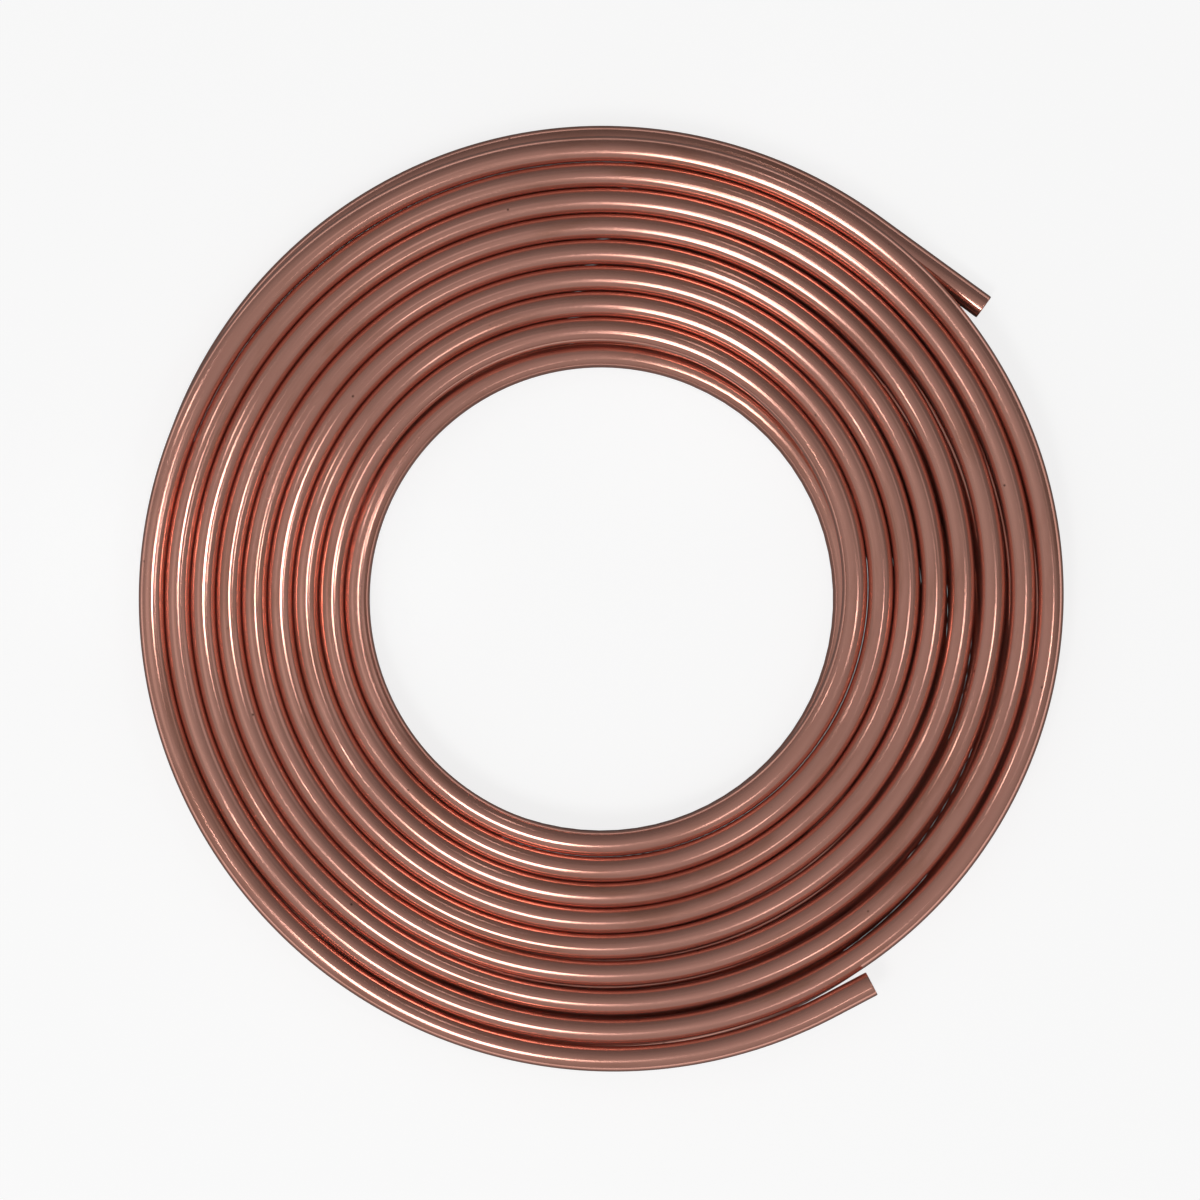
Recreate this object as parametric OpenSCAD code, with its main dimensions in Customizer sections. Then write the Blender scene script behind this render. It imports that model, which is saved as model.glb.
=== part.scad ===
// Coil of soft copper tube, lying flat
// One length of tube is wound into two flat layers of close turns round an open eye.
// It winds inward in the lower layer, climbs once at the eye and winds outward on top.
// Both free ends leave the outside of the coil as short straight lengths.
// Sizes are in millimetres, angles run counterclockwise as seen from above.

/* [Tube] */
// Outside diameter of the tube
tube_diameter = 12.7; // [6:0.05:22]
// Wall thickness of the tube
tube_wall = 0.9; // [0.5:0.05:2]

/* [Winding] */
// Clear diameter of the open eye
eye_diameter = 234; // [120:1:400]
// Free space between neighbouring turns
turn_gap = 0.25; // [0.1:0.05:1]
// Free space between the two layers
layer_gap = 0.25; // [0.1:0.05:1]
// Steps from the innermost turn of a layer to its outermost turn
layer_steps = 8; // [3:1:12]

/* [Lower layer] */
// How far the outermost lower turn has sprung open
spring_open = 6; // [0.5:0.5:10]
// Sweep of the sprung open stretch next to the free end
open_sweep = 36; // [10:1:60]
// Angle where each lower turn starts to step inward
lower_step = 90; // [60:1:200]
// Sweep of the innermost lower turn between its step and the climb
lower_rest = 120; // [60:1:140]

/* [Upper layer] */
// Sweep of the innermost upper turn between the climb and its step
upper_rest = 80; // [40:1:100]
// How much earlier the outer turns step than the inner turns
step_drift = 100; // [20:1:120]
// Number of the turn in the middle of that change
drift_turn = 5.2; // [2:0.1:8]
// Number of turns that the change is spread over
drift_spread = 1; // [0.5:0.05:2]
// Sweep of the last, unfinished step before the free end
last_sweep = 102; // [60:1:140]

/* [Free ends] */
// Straight length of the lower free end
lower_end = 69.5; // [20:0.5:120]
// Straight length of the upper free end
upper_end = 24; // [10:0.5:120]

/* [Hidden] */
$fn = 96;
copper = [0.74, 0.42, 0.34];
lap = 0.5;
hair = 0.01;
pitch = tube_diameter + turn_gap;
rise = tube_diameter + layer_gap;
low = tube_diameter / 2;
high = low + rise;
inner_radius = eye_diameter / 2 + tube_diameter / 2;
outer_radius = inner_radius + layer_steps * pitch;
open_radius = outer_radius + spring_open;
lower_leave = lower_step - open_sweep;
climb_start = lower_step + 180 + lower_rest;
climb_radius = sqrt(inner_radius * inner_radius + rise * rise / 4);
climb_tilt = atan(rise / 2 / inner_radius);
upper_start = climb_start + 180;
first_step = upper_start + upper_rest;
last_step = upper_step(layer_steps);
last_radius = outer_radius + pitch / 2;
upper_leave = last_step + last_sweep;

// Radius of a turn that lies concentric with the eye
function turn_radius(turn) = inner_radius + turn * pitch;

// Angle where an upper turn starts to step outward, earlier for the outer turns
function upper_step(turn) = first_step - step_drift / (1 + exp((drift_turn - turn) / drift_spread));

// How far a lower turn steps inward, more for the sprung open one
function lower_drop(turn) = turn == layer_steps ? pitch + spring_open : pitch;

// Cross section of the tube
module tube_section(extra = 0) {
    difference() {
        circle(d = tube_diameter + 2 * extra);
        circle(d = tube_diameter - 2 * tube_wall - 2 * extra);
    }
}

// Bend about the axis of the eye
module concentric_bend(height, radius, start, sweep) {
    translate([0, 0, height])
        rotate_extrude(angle = sweep, start = start)
            translate([radius, 0])
                tube_section();
}

// Bend that laps a hair over the stretches at both its ends
module lapping_bend(radius, start, sweep) {
    over = lap / radius * 180 / PI;
    rotate_extrude(angle = sweep + 2 * over, start = start - over)
        translate([radius, 0])
            tube_section(hair);
}

// Bend to a wider or narrower turn, its centre off the axis of the eye on the side where it starts
module stepping_bend(height, radius, start, sweep, off) {
    translate([off * cos(start), off * sin(start), height])
        lapping_bend(radius, start, sweep);
}

// Straight free end of the lower layer
module lower_free_end() {
    translate([open_radius * cos(lower_leave), open_radius * sin(lower_leave), low])
        rotate([0, 90, lower_leave - 90])
            translate([0, 0, -lap])
                linear_extrude(height = lower_end + lap)
                    tube_section(hair);
}

// Straight free end of the upper layer
module upper_free_end() {
    translate([
        last_radius * cos(upper_leave) - pitch / 2 * cos(last_step),
        last_radius * sin(upper_leave) - pitch / 2 * sin(last_step),
        high
    ])
        rotate([0, 90, upper_leave + 90])
            linear_extrude(height = upper_end)
                tube_section();
}

// Climb from the lower layer to the upper layer, half a turn at the eye
module climb() {
    translate([0, 0, (low + high) / 2])
        rotate([0, climb_tilt, climb_start])
            lapping_bend(climb_radius, 0, 180);
}

// Lower turn: a step inward, then a concentric stretch
module lower_turn(turn) {
    drop = lower_drop(turn);
    stepping_bend(low, turn_radius(turn - 1) + drop / 2, lower_step, 180, drop / 2);
    concentric_bend(low, turn_radius(turn - 1), lower_step + 180, turn > 1 ? 180 : lower_rest);
}

// Upper turn: a step outward, then a concentric stretch
module upper_turn(turn) {
    start = upper_step(turn);
    stepping_bend(high, turn_radius(turn) + pitch / 2, start, 180, -pitch / 2);
    concentric_bend(high, turn_radius(turn + 1), start + 180, 180 + upper_step(turn + 1) - start);
}

module copper_tube() {
    color(copper) {
        lower_free_end();
        concentric_bend(low, open_radius, lower_leave, open_sweep);
        for (turn = [layer_steps : -1 : 1])
            lower_turn(turn);
        climb();
        concentric_bend(high, inner_radius, upper_start, upper_rest);
        for (turn = [0 : layer_steps - 1])
            upper_turn(turn);
        stepping_bend(high, last_radius, last_step, last_sweep, -pitch / 2);
        upper_free_end();
    }
}

copper_tube();
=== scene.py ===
import math

import bpy
import numpy as np
from mathutils import Matrix, Vector


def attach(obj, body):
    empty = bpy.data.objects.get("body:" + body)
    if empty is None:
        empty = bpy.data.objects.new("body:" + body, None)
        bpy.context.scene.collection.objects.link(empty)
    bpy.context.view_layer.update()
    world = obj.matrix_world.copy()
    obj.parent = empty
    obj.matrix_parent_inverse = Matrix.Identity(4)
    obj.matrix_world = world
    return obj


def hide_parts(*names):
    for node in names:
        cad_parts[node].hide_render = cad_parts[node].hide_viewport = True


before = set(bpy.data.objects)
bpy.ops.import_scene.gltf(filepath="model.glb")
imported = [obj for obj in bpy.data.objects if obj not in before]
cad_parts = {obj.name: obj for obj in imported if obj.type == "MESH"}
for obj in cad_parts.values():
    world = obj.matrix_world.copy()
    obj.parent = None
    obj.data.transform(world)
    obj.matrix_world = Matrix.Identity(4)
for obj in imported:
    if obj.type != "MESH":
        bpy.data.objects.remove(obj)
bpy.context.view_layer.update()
print("frame loaded, nodes:", sorted(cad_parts))

mm = 0.001


def toLinear(code):
    # sRGB hex to linear colour with full alpha
    parts = [int(code[i : i + 2], 16) / 255 for i in (1, 3, 5)]
    return [c / 12.92 if c <= 0.04045 else ((c + 0.055) / 1.055) ** 2.4 for c in parts] + [1.0]


def addNode(tree, kind, links=None, **settings):
    # one shader node: settings by attribute or by input name, links from socket to input name
    made = tree.nodes.new(kind)
    for name, value in settings.items():
        if hasattr(made, name):
            setattr(made, name, value)
        else:
            made.inputs[name.replace("_", " ")].default_value = value
    for name, source in (links or {}).items():
        tree.links.new(source, made.inputs[name])
    return made


# the tube, with the same driving sizes as the solid, in millimetres and degrees
tube = dict(
    diameter=12.7,
    wall=0.9,
    eyeDiameter=234,
    turnGap=0.25,
    layerGap=0.25,
    layerSteps=8,
    springOpen=6,
    openSweep=36,
    lowerStep=90,
    lowerRest=120,
    upperRest=80,
    stepDrift=100,
    driftTurn=5.2,
    driftSpread=1.0,
    lastSweep=102,
    lowerEnd=69.5,
    upperEnd=24,
    swell=0.11,  # added to the radius, so that the turns touch as in the photograph
    sides=24,  # points round the tube
    ringStep=4.8,  # distance between rings along the tube where it shows from above
    hiddenStep=10.0,  # the same in the lower layer, below the other turns
    hiddenFrom=1700,
    hiddenTo=9000,
    boreStep=20.0,  # and in the bore
    nestShare=0.64,  # how far, in pitches, the lower turns lie out under the gaps of the upper ones
    nestCompass=-60,  # where they do so most
    endRoll=0.22,  # how far the cutter rolled the edge in
    endRollLength=0.8,
    endRings=(0.0, 0.1, 0.3, 0.6, 1.0),  # rings of the rolled edge, as shares of its length
    boreRollShare=0.5,  # the bore's edge rolls in by this share of the outside's
    pathStep=0.5,  # distance between points of the centreline
    tangentReach=0.3,  # how far ahead and behind the tangent looks
)


def windingPath(t):
    # centreline in mm: arcs of circles, each centre moved off the axis so that the next arc starts
    # on the same tangent, then the two straight ends; the climb is a half circle tilted about its ends
    pitch = t["diameter"] + t["turnGap"]
    rise = t["diameter"] + t["layerGap"]
    low, high = t["diameter"] / 2, t["diameter"] / 2 + rise
    inner = t["eyeDiameter"] / 2 + t["diameter"] / 2
    steps = t["layerSteps"]
    outer = inner + steps * pitch
    opened = outer + t["springOpen"]
    pieces = []

    def unit(angle):
        a = np.radians(angle)
        return np.stack([np.cos(a), np.sin(a)], -1)

    def joined(parts):
        # neighbours share an end point, so all but the first lose theirs
        return np.concatenate([parts[0]] + [part[1:] for part in parts[1:]])

    def bend(height, radius, start, sweep, off=0.0):
        count = max(int(radius * np.radians(sweep) / t["pathStep"]), 2)
        angles = start + np.linspace(0, sweep, count)
        flat = off * unit(start) + radius * unit(angles)
        pieces.append(np.column_stack([flat, np.full(count, height)]))

    def straight(place, heading, length, backwards=False):
        along = np.linspace(0, length, max(int(length / t["pathStep"]), 2))
        line = np.column_stack([place[:2] + along[:, None] * unit(heading), np.full(len(along), place[2])])
        pieces.append(line[::-1] if backwards else line)

    leave = t["lowerStep"] - t["openSweep"]
    straight(np.append(opened * unit(leave), low), leave - 90, t["lowerEnd"], backwards=True)
    bend(low, opened, leave, t["openSweep"])
    for turn in range(steps, 0, -1):
        drop = pitch + (t["springOpen"] if turn == steps else 0)
        radius = inner + (turn - 1) * pitch
        bend(low, radius + drop / 2, t["lowerStep"], 180, drop / 2)
        bend(low, radius, t["lowerStep"] + 180, 180 if turn > 1 else t["lowerRest"])

    climbStart = t["lowerStep"] + 180 + t["lowerRest"]
    around = np.radians(np.linspace(0, 180, int(inner * np.pi / t["pathStep"])))
    startVector = np.append(inner * unit(climbStart), -rise / 2)
    tangent = np.append(math.hypot(inner, rise / 2) * unit(climbStart + 90), 0)
    climb = np.cos(around)[:, None] * startVector + np.sin(around)[:, None] * tangent
    pieces.append(climb + [0, 0, (low + high) / 2])

    # the lower turns but the innermost lie further out on one side, by a cosine wave that starts and
    # ends where it is zero
    lower = joined(pieces)
    turned = np.degrees(np.unwrap(np.arctan2(lower[:, 1], lower[:, 0])))
    calm = t["nestCompass"] + 180
    nested = (turned > calm) & (turned < calm + 360 * (steps - 1))
    shift = t["nestShare"] * pitch * (1 + np.cos(np.radians(turned - t["nestCompass"]))) / 2
    lower[:, :2] += np.where(nested, shift, 0)[:, None] * unit(turned)
    pieces[:] = [lower]

    upperStart = climbStart + 180
    firstStep = upperStart + t["upperRest"]

    def stepAngle(turn):
        return firstStep - t["stepDrift"] / (1 + math.exp((t["driftTurn"] - turn) / t["driftSpread"]))

    bend(high, inner, upperStart, stepAngle(0) - upperStart)
    for turn in range(steps):
        start, following = stepAngle(turn), stepAngle(turn + 1)
        bend(high, inner + (turn + 0.5) * pitch, start, 180, -pitch / 2)
        bend(high, inner + (turn + 1) * pitch, start + 180, 180 + following - start)
    last = stepAngle(steps)
    bend(high, outer + pitch / 2, last, t["lastSweep"], -pitch / 2)
    leave = last + t["lastSweep"]
    place = (outer + pitch / 2) * unit(leave) - pitch / 2 * unit(last)
    straight(np.append(place, high), leave + 90, t["upperEnd"])
    return joined(pieces)


def tubeMesh(t):
    # tube(s, v) = path(s) + r(s) * (cos v * outward + sin v * up), r easing in by the roll at both cuts;
    # the bore is the same surface with the inner radius, turned inside out, and rings join them at the cuts
    path = windingPath(t)
    run = np.concatenate([[0], np.cumsum(np.linalg.norm(np.diff(path, axis=0), axis=1))])
    total = run[-1]
    marks = [0, t["hiddenFrom"], t["hiddenTo"], total]
    spacing = [t["ringStep"], t["hiddenStep"], t["ringStep"]]
    stretches = zip(marks, marks[1:], spacing)
    body = np.unique(np.concatenate([np.linspace(a, b, int((b - a) / d)) for a, b, d in stretches]))
    near = t["endRollLength"] * np.array(t["endRings"])
    s = np.concatenate([near, body[1:-1], total - near[::-1]])

    def placeAt(distance):
        return np.column_stack([np.interp(distance, run, path[:, k]) for k in range(3)])

    centre = placeAt(s)
    tangent = placeAt(s + t["tangentReach"]) - placeAt(s - t["tangentReach"])
    tangent /= np.linalg.norm(tangent, axis=1)[:, None]
    outward = np.cross(tangent, [0, 0, 1.0])
    outward /= np.linalg.norm(outward, axis=1)[:, None]
    up = np.cross(outward, tangent)

    sides = t["sides"]
    v = np.radians(-90) + np.arange(sides) * 2 * np.pi / sides
    cosV, sinV = np.cos(v), np.sin(v)
    fromEnd = np.minimum(s, total - s)
    ease = np.clip(1 - fromEnd / t["endRollLength"], 0, 1) ** 2
    outerRadius = t["diameter"] / 2 + t["swell"] - t["endRoll"] * ease
    innerRadius = t["diameter"] / 2 - t["wall"] - t["boreRollShare"] * t["endRoll"] * ease
    picked = np.searchsorted(s, np.arange(t["boreStep"], total - t["boreStep"], t["boreStep"]))
    edge = np.arange(len(near))
    boreRings = np.unique(np.concatenate([edge, picked, len(s) - len(near) + edge]))

    def rings(index, radius):
        spread = cosV[None, :, None] * outward[index][:, None] + sinV[None, :, None] * up[index][:, None]
        points = centre[index][:, None] + radius[index][:, None, None] * spread
        # each point's own place: run along the tube, then its two steps across it
        reach = radius[index][:, None]
        drawn = np.stack(np.broadcast_arrays(s[index][:, None], reach * cosV, reach * sinV), -1)
        return points.reshape(-1, 3), drawn.reshape(-1, 3)

    skin, skinDrawn = rings(np.arange(len(s)), outerRadius)
    bore, boreDrawn = rings(boreRings, innerRadius)

    def wall(count, first, flip):
        ring, side = np.meshgrid(np.arange(count - 1), np.arange(sides), indexing="ij")
        following = (side + 1) % sides
        here, beyond = first + ring * sides, first + (ring + 1) * sides
        corner = np.stack([here + side, beyond + side, beyond + following, here + following], -1)
        corner = corner.reshape(-1, 4)
        return corner[:, ::-1] if flip else corner

    firstBore = len(skin)
    side = np.arange(sides)
    following = (side + 1) % sides
    lastSkin, lastBore = (len(s) - 1) * sides, firstBore + (len(boreRings) - 1) * sides
    cutOne = np.stack([side, following, firstBore + following, firstBore + side], -1)
    cutTwo = np.stack([lastSkin + side, lastBore + side, lastBore + following, lastSkin + following], -1)
    quads = np.concatenate([wall(len(s), 0, False), wall(len(boreRings), firstBore, True), cutOne, cutTwo])

    mesh = bpy.data.meshes.new("copperTube")
    mesh.from_pydata(np.concatenate([skin, bore]) * mm, [], quads.tolist())
    smooth = np.ones(len(quads), bool)
    smooth[-2 * sides :] = False
    mesh.polygons.foreach_set("use_smooth", smooth)
    along = mesh.attributes.new("drawnTube", "FLOAT_VECTOR", "POINT")
    ownPlace = np.concatenate([skinDrawn, boreDrawn]) * mm
    along.data.foreach_set("vector", ownPlace.astype(np.float32).ravel())
    mesh.update()
    mesh.validate()
    print("tube: %.2f m long, %d rings, %d quads" % (total * mm, len(s), len(quads)))
    return mesh


copper = dict(
    clean="#E7A896",
    bloom="#C48670",  # browner where a thin film of oxide lies
    speck="#6B4A3E",
    metallic=0.86,  # the film scatters the rest
    roughLow=0.14,
    roughHigh=0.19,
    # lines along the draw, drawn coarser than the real ones so that a pixel holds them
    lineScale=(6, 800, 800),
    lineDetail=2.0,
    lineLow=0.3,  # the noise between these two spans the roughness
    lineHigh=0.7,
    lineDepth=0.00008,
    bloomScale=(14, 70, 70),
    bloomDetail=4.0,
    bloomGrain=0.6,
    bloomFrom=0.50,
    bloomTo=0.72,
    bloomMost=0.55,
    speckScale=55,  # one speck at most in each 18 mm
    speckSize=0.045,  # as a share of that
    speckMost=0.8,
)


def brightCopper(c):
    # soft copper tube, drawn bright and annealed: a satin metal with faint lines along the draw,
    # a thin brown bloom of oxide in patches and a few small dark specks
    material = bpy.data.materials.new("brightDrawnCopper")
    material.use_nodes = True
    tree = material.node_tree
    shader = tree.nodes["Principled BSDF"]
    shader.inputs["Metallic"].default_value = c["metallic"]
    drawn = addNode(tree, "ShaderNodeAttribute", attribute_name="drawnTube").outputs["Vector"]
    lineWay = addNode(tree, "ShaderNodeMapping", {"Vector": drawn}, vector_type="POINT", Scale=c["lineScale"])
    lines = addNode(
        tree, "ShaderNodeTexNoise", {"Vector": lineWay.outputs["Vector"]}, Scale=1.0, Detail=c["lineDetail"]
    )
    rough = addNode(
        tree, "ShaderNodeMapRange", {"Value": lines.outputs["Fac"]},
        From_Min=c["lineLow"], From_Max=c["lineHigh"], To_Min=c["roughLow"], To_Max=c["roughHigh"],
    )
    tree.links.new(rough.outputs["Result"], shader.inputs["Roughness"])
    groove = addNode(tree, "ShaderNodeBump", {"Height": lines.outputs["Fac"]}, Distance=c["lineDepth"])
    tree.links.new(groove.outputs["Normal"], shader.inputs["Normal"])
    bloomWay = addNode(tree, "ShaderNodeMapping", {"Vector": drawn}, vector_type="POINT", Scale=c["bloomScale"])
    patches = addNode(
        tree, "ShaderNodeTexNoise", {"Vector": bloomWay.outputs["Vector"]},
        Scale=1.0, Detail=c["bloomDetail"], Roughness=c["bloomGrain"],
    )
    bloom = addNode(
        tree, "ShaderNodeMapRange", {"Value": patches.outputs["Fac"]}, interpolation_type="SMOOTHSTEP",
        From_Min=c["bloomFrom"], From_Max=c["bloomTo"], To_Max=c["bloomMost"],
    )
    film = addNode(tree, "ShaderNodeMix", {"Factor": bloom.outputs["Result"]}, data_type="RGBA")
    film.inputs["A"].default_value = toLinear(c["clean"])
    film.inputs["B"].default_value = toLinear(c["bloom"])
    spots = addNode(tree, "ShaderNodeTexVoronoi", {"Vector": drawn}, Scale=c["speckScale"])
    near = addNode(
        tree, "ShaderNodeMapRange", {"Value": spots.outputs["Distance"]},
        From_Min=c["speckSize"] / 2, From_Max=c["speckSize"], To_Min=c["speckMost"], To_Max=0.0,
    )
    marked = addNode(
        tree, "ShaderNodeMix", {"Factor": near.outputs["Result"], "A": film.outputs["Result"]}, data_type="RGBA"
    )
    marked.inputs["B"].default_value = toLinear(c["speck"])
    tree.links.new(marked.outputs["Result"], shader.inputs["Base Color"])
    return material


coil = bpy.data.objects.new("copperTubeCoil", tubeMesh(tube))
bpy.context.scene.collection.objects.link(coil)
coil.data.materials.append(brightCopper(copper))
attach(coil, "root")
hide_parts("copper_tube")
print("coil made")

# plain pale floor, just below the thickened tube
ground = dict(reach=4.0, height=-0.0003, paint="#959595", roughness=0.9, whiteness=0.80)
corners = [(x * ground["reach"], y * ground["reach"]) for x, y in ((-1, -1), (1, -1), (1, 1), (-1, 1))]
floorMesh = bpy.data.meshes.new("floor")
floorMesh.from_pydata([(x, y, ground["height"]) for x, y in corners], [], [(0, 1, 2, 3)])
floor = bpy.data.objects.new("floor", floorMesh)
bpy.context.scene.collection.objects.link(floor)
# the wound band and its border, in mm: for mirrored rays the board's whiteness is cut near the coil and fades
# in beyond them, a painted contact shade that the tube mirrors at its rims
shade = dict(middle=175, half=85, fade=85)
# matt white board: the camera and mirrored rays see some of its whiteness whatever the light, and it
# keeps the shadow
floorPaint = bpy.data.materials.new("paleFloor")
floorPaint.use_nodes = True
tree = floorPaint.node_tree
board = tree.nodes["Principled BSDF"]
board.inputs["Base Color"].default_value = toLinear(ground["paint"])
board.inputs["Roughness"].default_value = ground["roughness"]
ray = addNode(tree, "ShaderNodeLightPath")
mirrored = addNode(tree, "ShaderNodeMath", operation="MAXIMUM")
tree.links.new(ray.outputs["Is Glossy Ray"], mirrored.inputs[0])
tree.links.new(ray.outputs["Is Transmission Ray"], mirrored.inputs[1])
# painted shade: the whiteness seen by mirrored rays fades out near the coil, as a contact shadow would, so the
# tube's rims mirror a darker floor
place = addNode(tree, "ShaderNodeTexCoord")
reach = addNode(tree, "ShaderNodeVectorMath", {"Vector": place.outputs["Object"]}, operation="LENGTH")
offBand = addNode(tree, "ShaderNodeMath", {0: reach.outputs["Value"]}, operation="SUBTRACT")
offBand.inputs[1].default_value = shade["middle"] * mm
apart = addNode(tree, "ShaderNodeMath", {0: offBand.outputs["Value"]}, operation="ABSOLUTE")
beyondPaintedShade = addNode(
    tree, "ShaderNodeMapRange", {"Value": apart.outputs["Value"]}, interpolation_type="SMOOTHSTEP",
    From_Min=shade["half"] * mm, From_Max=(shade["half"] + shade["fade"]) * mm,
)
shaded = addNode(tree, "ShaderNodeMath", operation="MULTIPLY")
tree.links.new(mirrored.outputs["Value"], shaded.inputs[0])
tree.links.new(beyondPaintedShade.outputs["Result"], shaded.inputs[1])
seen = addNode(tree, "ShaderNodeMath", operation="MAXIMUM")
tree.links.new(ray.outputs["Is Camera Ray"], seen.inputs[0])
tree.links.new(shaded.outputs["Value"], seen.inputs[1])
white = addNode(tree, "ShaderNodeMath", operation="MULTIPLY")
tree.links.new(seen.outputs["Value"], white.inputs[0])
white.inputs[1].default_value = ground["whiteness"]
board.inputs["Emission Color"].default_value = (1, 1, 1, 1)
tree.links.new(white.outputs["Value"], board.inputs["Emission Strength"])
floor.data.materials.append(floorPaint)

# light: a soft box in front, small ones that each give a highlight of the photograph, and a room that is
# dimmer on one side; lamps stand by compass angle and angle off straight up, aimed at a point of the floor,
# which is the centre, with no limit of spread, where none is named
lamps = [
    dict(name="frontBox", compass=247, lean=29, away=2.4, width=0.6, length=0.62, power=8.6),
    dict(
        name="sideBox", compass=174, lean=6.3, away=0.7, width=0.06, length=0.20,
        power=0.0027, spread=10, aim=(-0.178, 0.02),
    ),
    dict(
        name="topBox", compass=247, lean=4, away=0.7, width=0.06, length=0.22,
        power=0.0017, spread=12, aim=(0.068, 0.160),
    ),
    dict(
        name="overBox", compass=120, lean=25, away=0.77, width=0.16, length=0.12,
        power=0.00025, spread=20, aim=(-0.089, 0.154),
    ),
    dict(name="edgeBox", compass=352, lean=28, away=2.4, width=0.18, length=0.24, power=0.75),
    dict(
        name="crossBox", compass=16, lean=44, away=0.63, width=0.50, length=0.35,
        power=0.010, spread=40, aim=(-0.20, -0.06),
    ),
    dict(
        name="sideGlow", compass=187, lean=51, away=0.73, width=0.40, length=0.30,
        power=0.004, spread=40, aim=(-0.18, -0.02),
    ),
    dict(name="farSpot", compass=67, lean=38, away=2.4, width=0.10, length=0.22, power=0.2),
    dict(name="cornerSpot", compass=155, lean=44, away=2.4, width=0.12, length=0.16, power=0.5),
    dict(name="leftSpot", compass=212, lean=31, away=2.4, width=0.04, length=0.12, power=0.45),
    dict(name="edgeSpark", compass=354.7, lean=28, away=2.4, width=0.04, length=0.10, power=0.25),
    dict(name="nearSpot", compass=300, lean=35, away=2.4, width=0.42, length=0.16, power=0.65),
]
for lamp in lamps:
    data = bpy.data.lights.new(lamp["name"], "AREA")
    data.shape = "RECTANGLE"
    data.size, data.size_y = lamp["width"], lamp["length"]
    data.energy = lamp["power"]
    data.spread = math.radians(lamp.get("spread", 180))
    compass, lean = math.radians(lamp["compass"]), math.radians(lamp["lean"])
    towards = Vector((math.sin(lean) * math.cos(compass), math.sin(lean) * math.sin(compass), math.cos(lean)))
    made = bpy.data.objects.new(lamp["name"], data)
    made.location = towards * lamp["away"]
    # the box faces the place that it is aimed at, with its length along the lean
    facing = (made.location - Vector((*lamp.get("aim", (0, 0)), 0))).normalized()
    across = facing.cross(Vector((math.cos(compass), math.sin(compass), 0))).normalized()
    made.rotation_euler = Matrix((across, facing.cross(across), facing)).transposed().to_euler()
    made.visible_camera = False
    bpy.context.scene.collection.objects.link(made)

room = dict(
    dimCompass=60,
    dimReach=0.85,
    litReach=-0.35,
    dimLevel=0.145,
    litLevel=0.38,
    horizon=0.7,  # share of the light that is left at the horizon
    clearFrom=0.8,
)
world = bpy.data.worlds.new("room")
bpy.context.scene.world = world
world.use_nodes = True
tree = world.node_tree
direction = addNode(tree, "ShaderNodeTexCoord")
dimWay = math.radians(room["dimCompass"])
towardsDim = addNode(tree, "ShaderNodeVectorMath", operation="DOT_PRODUCT")
tree.links.new(direction.outputs["Generated"], towardsDim.inputs[0])
towardsDim.inputs[1].default_value = (math.cos(dimWay), math.sin(dimWay), 0)
level = addNode(
    tree, "ShaderNodeMapRange", {"Value": towardsDim.outputs["Value"]}, interpolation_type="SMOOTHSTEP",
    From_Min=room["litReach"], From_Max=room["dimReach"], To_Min=room["litLevel"], To_Max=room["dimLevel"],
)
parts = addNode(tree, "ShaderNodeSeparateXYZ", {"Vector": direction.outputs["Generated"]})
height = addNode(
    tree, "ShaderNodeMapRange", {"Value": parts.outputs["Z"]},
    From_Max=room["clearFrom"], To_Min=room["horizon"],
)
strength = addNode(tree, "ShaderNodeMath", operation="MULTIPLY")
tree.links.new(level.outputs["Result"], strength.inputs[0])
tree.links.new(height.outputs["Result"], strength.inputs[1])
tree.links.new(strength.outputs["Value"], tree.nodes["Background"].inputs["Strength"])
tree.nodes["Background"].inputs["Color"].default_value = (1, 1, 1, 1)
print("stage and light made")

# camera straight above, the whole frame about 605 mm wide at the top layer
view = dict(frameWidth=604.8, height=4000, centre=(-0.9, -0.4), topLayer=19.3, sensor=36, farthest=20)
cameraData = bpy.data.cameras.new("camera")
cameraData.sensor_width = view["sensor"]
cameraData.lens = view["sensor"] * view["height"] / view["frameWidth"]
cameraData.clip_end = view["farthest"]
camera = bpy.data.objects.new("camera", cameraData)
camera.location = Vector((*view["centre"], view["height"] + view["topLayer"])) * mm
bpy.context.scene.collection.objects.link(camera)
bpy.context.scene.camera = camera
bpy.context.scene.view_settings.view_transform = "Standard"
